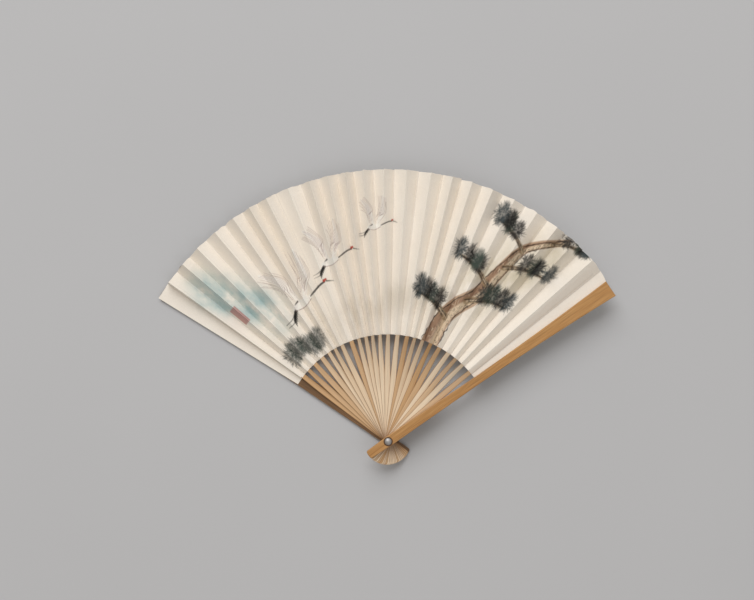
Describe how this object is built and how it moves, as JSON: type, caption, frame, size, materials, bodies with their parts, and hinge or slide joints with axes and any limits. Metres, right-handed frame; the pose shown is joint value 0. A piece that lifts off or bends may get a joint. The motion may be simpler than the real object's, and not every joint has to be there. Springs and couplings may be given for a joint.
{
  "type": "folding hand fan",
  "caption": "Folding hand fan with bamboo guards and ribs on a rivet, and a pleated painted paper leaf; it spreads and closes about the rivet.",
  "frame": {"origin": "rivet's axis, in the plane of the rear guard's outer face, where the rivet's foot lies flush", "axes": "+Z along the rivet from the rear guard to the front guard, +Y halves the open spread, +X towards the front guard's tip"},
  "size_m": [0.3456, 0.2251, 0.0261],
  "materials": {
    "guard_bamboo": "honey-coloured smoked bamboo, satin",
    "rib_bamboo": "pale split bamboo, shaved smooth",
    "leaf_paper": "matt pleated paper with ink painting",
    "rivet_steel": "polished steel rivet"
  },
  "bodies": {
    "rear_side": {"rear_guard": "guard_bamboo", "rear_facing": "leaf_paper", "rivet_post": "rivet_steel", "rivet_cap": "rivet_steel"},
    "front_side": {"front_guard": "guard_bamboo", "front_facing": "leaf_paper"},
    "stick_01": {"rib_01": "rib_bamboo"},
    "stick_02": {"rib_02": "rib_bamboo"},
    "stick_03": {"rib_03": "rib_bamboo"},
    "stick_04": {"rib_04": "rib_bamboo"},
    "stick_05": {"rib_05": "rib_bamboo"},
    "stick_06": {"rib_06": "rib_bamboo"},
    "stick_07": {"rib_07": "rib_bamboo"},
    "stick_08": {"rib_08": "rib_bamboo"},
    "stick_09": {"rib_09": "rib_bamboo"},
    "stick_10": {"rib_10": "rib_bamboo"},
    "stick_11": {"rib_11": "rib_bamboo"},
    "stick_12": {"rib_12": "rib_bamboo"},
    "stick_13": {"rib_13": "rib_bamboo"},
    "stick_14": {"rib_14": "rib_bamboo"},
    "stick_15": {"rib_15": "rib_bamboo"},
    "stick_16": {"rib_16": "rib_bamboo"},
    "stick_17": {"rib_17": "rib_bamboo"},
    "stick_18": {"rib_18": "rib_bamboo"},
    "stick_19": {"rib_19": "rib_bamboo"},
    "stick_20": {"rib_20": "rib_bamboo"},
    "stick_21": {"rib_21": "rib_bamboo"},
    "stick_22": {"rib_22": "rib_bamboo"},
    "stick_23": {"rib_23": "rib_bamboo"},
    "pleat_00": {"leaf_fold_00": "leaf_paper"},
    "pleat_01": {"leaf_fold_01": "leaf_paper"},
    "pleat_02": {"leaf_fold_02": "leaf_paper"},
    "pleat_03": {"leaf_fold_03": "leaf_paper"},
    "pleat_04": {"leaf_fold_04": "leaf_paper"},
    "pleat_05": {"leaf_fold_05": "leaf_paper"},
    "pleat_06": {"leaf_fold_06": "leaf_paper"},
    "pleat_07": {"leaf_fold_07": "leaf_paper"},
    "pleat_08": {"leaf_fold_08": "leaf_paper"},
    "pleat_09": {"leaf_fold_09": "leaf_paper"},
    "pleat_10": {"leaf_fold_10": "leaf_paper"},
    "pleat_11": {"leaf_fold_11": "leaf_paper"},
    "pleat_12": {"leaf_fold_12": "leaf_paper"},
    "pleat_13": {"leaf_fold_13": "leaf_paper"},
    "pleat_14": {"leaf_fold_14": "leaf_paper"},
    "pleat_15": {"leaf_fold_15": "leaf_paper"},
    "pleat_16": {"leaf_fold_16": "leaf_paper"},
    "pleat_17": {"leaf_fold_17": "leaf_paper"},
    "pleat_18": {"leaf_fold_18": "leaf_paper"},
    "pleat_19": {"leaf_fold_19": "leaf_paper"},
    "pleat_20": {"leaf_fold_20": "leaf_paper"},
    "pleat_21": {"leaf_fold_21": "leaf_paper"},
    "pleat_22": {"leaf_fold_22": "leaf_paper"},
    "pleat_23": {"leaf_fold_23": "leaf_paper"}
  },
  "joints": [
    {"name": "fan_spread", "type": "hinge", "parent": "rear_side", "child": "front_side", "pos_m": [0, 0, 0], "axis": [0, 0, 1], "range_deg": [0, 112]},
    {"name": "stick_01_turn", "type": "hinge", "parent": "rear_side", "child": "stick_01", "pos_m": [0, 0, 0], "axis": [0, 0, 1], "range_deg": [0, 3.3]},
    {"name": "stick_02_turn", "type": "hinge", "parent": "rear_side", "child": "stick_02", "pos_m": [0, 0, 0], "axis": [0, 0, 1], "range_deg": [0, 7.4]},
    {"name": "stick_03_turn", "type": "hinge", "parent": "rear_side", "child": "stick_03", "pos_m": [0, 0, 0], "axis": [0, 0, 1], "range_deg": [0, 12.4]},
    {"name": "stick_04_turn", "type": "hinge", "parent": "rear_side", "child": "stick_04", "pos_m": [0, 0, 0], "axis": [0, 0, 1], "range_deg": [0, 17.5]},
    {"name": "stick_05_turn", "type": "hinge", "parent": "rear_side", "child": "stick_05", "pos_m": [0, 0, 0], "axis": [0, 0, 1], "range_deg": [0, 22.1]},
    {"name": "stick_06_turn", "type": "hinge", "parent": "rear_side", "child": "stick_06", "pos_m": [0, 0, 0], "axis": [0, 0, 1], "range_deg": [0, 25.7]},
    {"name": "stick_07_turn", "type": "hinge", "parent": "rear_side", "child": "stick_07", "pos_m": [0, 0, 0], "axis": [0, 0, 1], "range_deg": [0, 30.2]},
    {"name": "stick_08_turn", "type": "hinge", "parent": "rear_side", "child": "stick_08", "pos_m": [0, 0, 0], "axis": [0, 0, 1], "range_deg": [0, 35.9]},
    {"name": "stick_09_turn", "type": "hinge", "parent": "rear_side", "child": "stick_09", "pos_m": [0, 0, 0], "axis": [0, 0, 1], "range_deg": [0, 39.7]},
    {"name": "stick_10_turn", "type": "hinge", "parent": "rear_side", "child": "stick_10", "pos_m": [0, 0, 0], "axis": [0, 0, 1], "range_deg": [0, 43.8]},
    {"name": "stick_11_turn", "type": "hinge", "parent": "rear_side", "child": "stick_11", "pos_m": [0, 0, 0], "axis": [0, 0, 1], "range_deg": [0, 47.3]},
    {"name": "stick_12_turn", "type": "hinge", "parent": "rear_side", "child": "stick_12", "pos_m": [0, 0, 0], "axis": [0, 0, 1], "range_deg": [0, 51.5]},
    {"name": "stick_13_turn", "type": "hinge", "parent": "rear_side", "child": "stick_13", "pos_m": [0, 0, 0], "axis": [0, 0, 1], "range_deg": [0, 56]},
    {"name": "stick_14_turn", "type": "hinge", "parent": "rear_side", "child": "stick_14", "pos_m": [0, 0, 0], "axis": [0, 0, 1], "range_deg": [0, 61.2]},
    {"name": "stick_15_turn", "type": "hinge", "parent": "rear_side", "child": "stick_15", "pos_m": [0, 0, 0], "axis": [0, 0, 1], "range_deg": [0, 66.4]},
    {"name": "stick_16_turn", "type": "hinge", "parent": "rear_side", "child": "stick_16", "pos_m": [0, 0, 0], "axis": [0, 0, 1], "range_deg": [0, 70.4]},
    {"name": "stick_17_turn", "type": "hinge", "parent": "rear_side", "child": "stick_17", "pos_m": [0, 0, 0], "axis": [0, 0, 1], "range_deg": [0, 74.9]},
    {"name": "stick_18_turn", "type": "hinge", "parent": "rear_side", "child": "stick_18", "pos_m": [0, 0, 0], "axis": [0, 0, 1], "range_deg": [0, 79.6]},
    {"name": "stick_19_turn", "type": "hinge", "parent": "rear_side", "child": "stick_19", "pos_m": [0, 0, 0], "axis": [0, 0, 1], "range_deg": [0, 84.9]},
    {"name": "stick_20_turn", "type": "hinge", "parent": "rear_side", "child": "stick_20", "pos_m": [0, 0, 0], "axis": [0, 0, 1], "range_deg": [0, 90.5]},
    {"name": "stick_21_turn", "type": "hinge", "parent": "rear_side", "child": "stick_21", "pos_m": [0, 0, 0], "axis": [0, 0, 1], "range_deg": [0, 95.3]},
    {"name": "stick_22_turn", "type": "hinge", "parent": "rear_side", "child": "stick_22", "pos_m": [0, 0, 0], "axis": [0, 0, 1], "range_deg": [0, 100.1]},
    {"name": "stick_23_turn", "type": "hinge", "parent": "rear_side", "child": "stick_23", "pos_m": [0, 0, 0], "axis": [0, 0, 1], "range_deg": [0, 105.9]},
    {"name": "pleat_00_fold", "type": "hinge", "parent": "rear_side", "child": "pleat_00", "pos_m": [0, 0, 0.00225], "axis": [0.811, -0.5851, 0], "range_deg": [0, 102.31], "deforming": ["leaf_fold_00"]},
    {"name": "pleat_01_fold", "type": "hinge", "parent": "stick_01", "child": "pleat_01", "pos_m": [0, 0, 0.003], "axis": [0.7759, -0.6308, 0], "range_deg": [0, 124.51], "deforming": ["leaf_fold_01"]},
    {"name": "pleat_02_fold", "type": "hinge", "parent": "stick_02", "child": "pleat_02", "pos_m": [0, 0, 0.00362], "axis": [0.7288, -0.6847, 0], "range_deg": [0, 133.7], "deforming": ["leaf_fold_02"]},
    {"name": "pleat_03_fold", "type": "hinge", "parent": "stick_03", "child": "pleat_03", "pos_m": [0, 0, 0.00424], "axis": [0.6664, -0.7456, 0], "range_deg": [0, 134.8], "deforming": ["leaf_fold_03"]},
    {"name": "pleat_04_fold", "type": "hinge", "parent": "stick_04", "child": "pleat_04", "pos_m": [0, 0, 0.00486], "axis": [0.5975, -0.8019, 0], "range_deg": [0, 129.47], "deforming": ["leaf_fold_04"]},
    {"name": "pleat_05_fold", "type": "hinge", "parent": "stick_05", "child": "pleat_05", "pos_m": [0, 0, 0.00548], "axis": [0.5313, -0.8472, 0], "range_deg": [0, 119.83], "deforming": ["leaf_fold_05"]},
    {"name": "pleat_06_fold", "type": "hinge", "parent": "stick_06", "child": "pleat_06", "pos_m": [0, 0, 0.0061], "axis": [0.477, -0.8789, 0], "range_deg": [0, 128.45], "deforming": ["leaf_fold_06"]},
    {"name": "pleat_07_fold", "type": "hinge", "parent": "stick_07", "child": "pleat_07", "pos_m": [0, 0, 0.00672], "axis": [0.4066, -0.9136, 0], "range_deg": [0, 141.95], "deforming": ["leaf_fold_07"]},
    {"name": "pleat_08_fold", "type": "hinge", "parent": "stick_08", "child": "pleat_08", "pos_m": [0, 0, 0.00734], "axis": [0.3138, -0.9495, 0], "range_deg": [0, 121.68], "deforming": ["leaf_fold_08"]},
    {"name": "pleat_09_fold", "type": "hinge", "parent": "stick_09", "child": "pleat_09", "pos_m": [0, 0, 0.00796], "axis": [0.2502, -0.9682, 0], "range_deg": [0, 124.51], "deforming": ["leaf_fold_09"]},
    {"name": "pleat_10_fold", "type": "hinge", "parent": "stick_10", "child": "pleat_10", "pos_m": [0, 0, 0.00858], "axis": [0.1803, -0.9836, 0], "range_deg": [0, 118.93], "deforming": ["leaf_fold_10"]},
    {"name": "pleat_11_fold", "type": "hinge", "parent": "stick_11", "child": "pleat_11", "pos_m": [0, 0, 0.0092], "axis": [0.12, -0.9928, 0], "range_deg": [0, 125.48], "deforming": ["leaf_fold_11"]},
    {"name": "pleat_12_fold", "type": "hinge", "parent": "stick_12", "child": "pleat_12", "pos_m": [0, 0, 0.00982], "axis": [0.0469, -0.9989, 0], "range_deg": [0, 128.45], "deforming": ["leaf_fold_12"]},
    {"name": "pleat_13_fold", "type": "hinge", "parent": "stick_13", "child": "pleat_13", "pos_m": [0, 0, 0.01044], "axis": [-0.0316, -0.9995, 0], "range_deg": [0, 135.93], "deforming": ["leaf_fold_13"]},
    {"name": "pleat_14_fold", "type": "hinge", "parent": "stick_14", "child": "pleat_14", "pos_m": [0, 0, 0.01106], "axis": [-0.122, -0.9925, 0], "range_deg": [0, 135.93], "deforming": ["leaf_fold_14"]},
    {"name": "pleat_15_fold", "type": "hinge", "parent": "stick_15", "child": "pleat_15", "pos_m": [0, 0, 0.01168], "axis": [-0.2115, -0.9774, 0], "range_deg": [0, 123.56], "deforming": ["leaf_fold_15"]},
    {"name": "pleat_16_fold", "type": "hinge", "parent": "stick_16", "child": "pleat_16", "pos_m": [0, 0, 0.0123], "axis": [-0.2792, -0.9602, 0], "range_deg": [0, 128.45], "deforming": ["leaf_fold_16"]},
    {"name": "pleat_17_fold", "type": "hinge", "parent": "stick_17", "child": "pleat_17", "pos_m": [0, 0, 0.01292], "axis": [-0.3536, -0.9354, 0], "range_deg": [0, 130.5], "deforming": ["leaf_fold_17"]},
    {"name": "pleat_18_fold", "type": "hinge", "parent": "stick_18", "child": "pleat_18", "pos_m": [0, 0, 0.01354], "axis": [-0.4291, -0.9033, 0], "range_deg": [0, 137.08], "deforming": ["leaf_fold_18"]},
    {"name": "pleat_19_fold", "type": "hinge", "parent": "stick_19", "child": "pleat_19", "pos_m": [0, 0, 0.01416], "axis": [-0.5107, -0.8598, 0], "range_deg": [0, 140.69], "deforming": ["leaf_fold_19"]},
    {"name": "pleat_20_fold", "type": "hinge", "parent": "stick_20", "child": "pleat_20", "pos_m": [0, 0, 0.01478], "axis": [-0.5922, -0.8058, 0], "range_deg": [0, 131.55], "deforming": ["leaf_fold_20"]},
    {"name": "pleat_21_fold", "type": "hinge", "parent": "stick_21", "child": "pleat_21", "pos_m": [0, 0, 0.0154], "axis": [-0.6575, -0.7534, 0], "range_deg": [0, 131.55], "deforming": ["leaf_fold_21"]},
    {"name": "pleat_22_fold", "type": "hinge", "parent": "stick_22", "child": "pleat_22", "pos_m": [0, 0, 0.01602], "axis": [-0.7182, -0.6958, 0], "range_deg": [0, 143.25], "deforming": ["leaf_fold_22"]},
    {"name": "pleat_23_fold", "type": "hinge", "parent": "stick_23", "child": "pleat_23", "pos_m": [0, 0, 0.01664], "axis": [-0.7849, -0.6196, 0], "range_deg": [0, 179], "deforming": ["leaf_fold_23"]}
  ],
  "couplings": [
    {"joint": "stick_01_turn", "follows": "fan_spread", "ratio": 0.029464},
    {"joint": "stick_02_turn", "follows": "fan_spread", "ratio": 0.066071},
    {"joint": "stick_03_turn", "follows": "fan_spread", "ratio": 0.11071},
    {"joint": "stick_04_turn", "follows": "fan_spread", "ratio": 0.15625},
    {"joint": "stick_05_turn", "follows": "fan_spread", "ratio": 0.19732},
    {"joint": "stick_06_turn", "follows": "fan_spread", "ratio": 0.22946},
    {"joint": "stick_07_turn", "follows": "fan_spread", "ratio": 0.26964},
    {"joint": "stick_08_turn", "follows": "fan_spread", "ratio": 0.32054},
    {"joint": "stick_09_turn", "follows": "fan_spread", "ratio": 0.35446},
    {"joint": "stick_10_turn", "follows": "fan_spread", "ratio": 0.39107},
    {"joint": "stick_11_turn", "follows": "fan_spread", "ratio": 0.42232},
    {"joint": "stick_12_turn", "follows": "fan_spread", "ratio": 0.45982},
    {"joint": "stick_13_turn", "follows": "fan_spread", "ratio": 0.5},
    {"joint": "stick_14_turn", "follows": "fan_spread", "ratio": 0.54643},
    {"joint": "stick_15_turn", "follows": "fan_spread", "ratio": 0.59286},
    {"joint": "stick_16_turn", "follows": "fan_spread", "ratio": 0.62857},
    {"joint": "stick_17_turn", "follows": "fan_spread", "ratio": 0.66875},
    {"joint": "stick_18_turn", "follows": "fan_spread", "ratio": 0.71071},
    {"joint": "stick_19_turn", "follows": "fan_spread", "ratio": 0.75804},
    {"joint": "stick_20_turn", "follows": "fan_spread", "ratio": 0.80804},
    {"joint": "stick_21_turn", "follows": "fan_spread", "ratio": 0.85089},
    {"joint": "stick_22_turn", "follows": "fan_spread", "ratio": 0.89375},
    {"joint": "stick_23_turn", "follows": "fan_spread", "ratio": 0.94554},
    {"joint": "pleat_00_fold", "follows": "fan_spread", "ratio": 0.91345},
    {"joint": "pleat_01_fold", "follows": "fan_spread", "ratio": 1.1117},
    {"joint": "pleat_02_fold", "follows": "fan_spread", "ratio": 1.1937},
    {"joint": "pleat_03_fold", "follows": "fan_spread", "ratio": 1.2036},
    {"joint": "pleat_04_fold", "follows": "fan_spread", "ratio": 1.1559},
    {"joint": "pleat_05_fold", "follows": "fan_spread", "ratio": 1.0699},
    {"joint": "pleat_06_fold", "follows": "fan_spread", "ratio": 1.1469},
    {"joint": "pleat_07_fold", "follows": "fan_spread", "ratio": 1.2674},
    {"joint": "pleat_08_fold", "follows": "fan_spread", "ratio": 1.0864},
    {"joint": "pleat_09_fold", "follows": "fan_spread", "ratio": 1.1117},
    {"joint": "pleat_10_fold", "follows": "fan_spread", "ratio": 1.0618},
    {"joint": "pleat_11_fold", "follows": "fan_spread", "ratio": 1.1203},
    {"joint": "pleat_12_fold", "follows": "fan_spread", "ratio": 1.1469},
    {"joint": "pleat_13_fold", "follows": "fan_spread", "ratio": 1.2136},
    {"joint": "pleat_14_fold", "follows": "fan_spread", "ratio": 1.2136},
    {"joint": "pleat_15_fold", "follows": "fan_spread", "ratio": 1.1032},
    {"joint": "pleat_16_fold", "follows": "fan_spread", "ratio": 1.1469},
    {"joint": "pleat_17_fold", "follows": "fan_spread", "ratio": 1.1652},
    {"joint": "pleat_18_fold", "follows": "fan_spread", "ratio": 1.2239},
    {"joint": "pleat_19_fold", "follows": "fan_spread", "ratio": 1.2561},
    {"joint": "pleat_20_fold", "follows": "fan_spread", "ratio": 1.1745},
    {"joint": "pleat_21_fold", "follows": "fan_spread", "ratio": 1.1745},
    {"joint": "pleat_22_fold", "follows": "fan_spread", "ratio": 1.2791},
    {"joint": "pleat_23_fold", "follows": "fan_spread", "ratio": 1.5982}
  ]
}
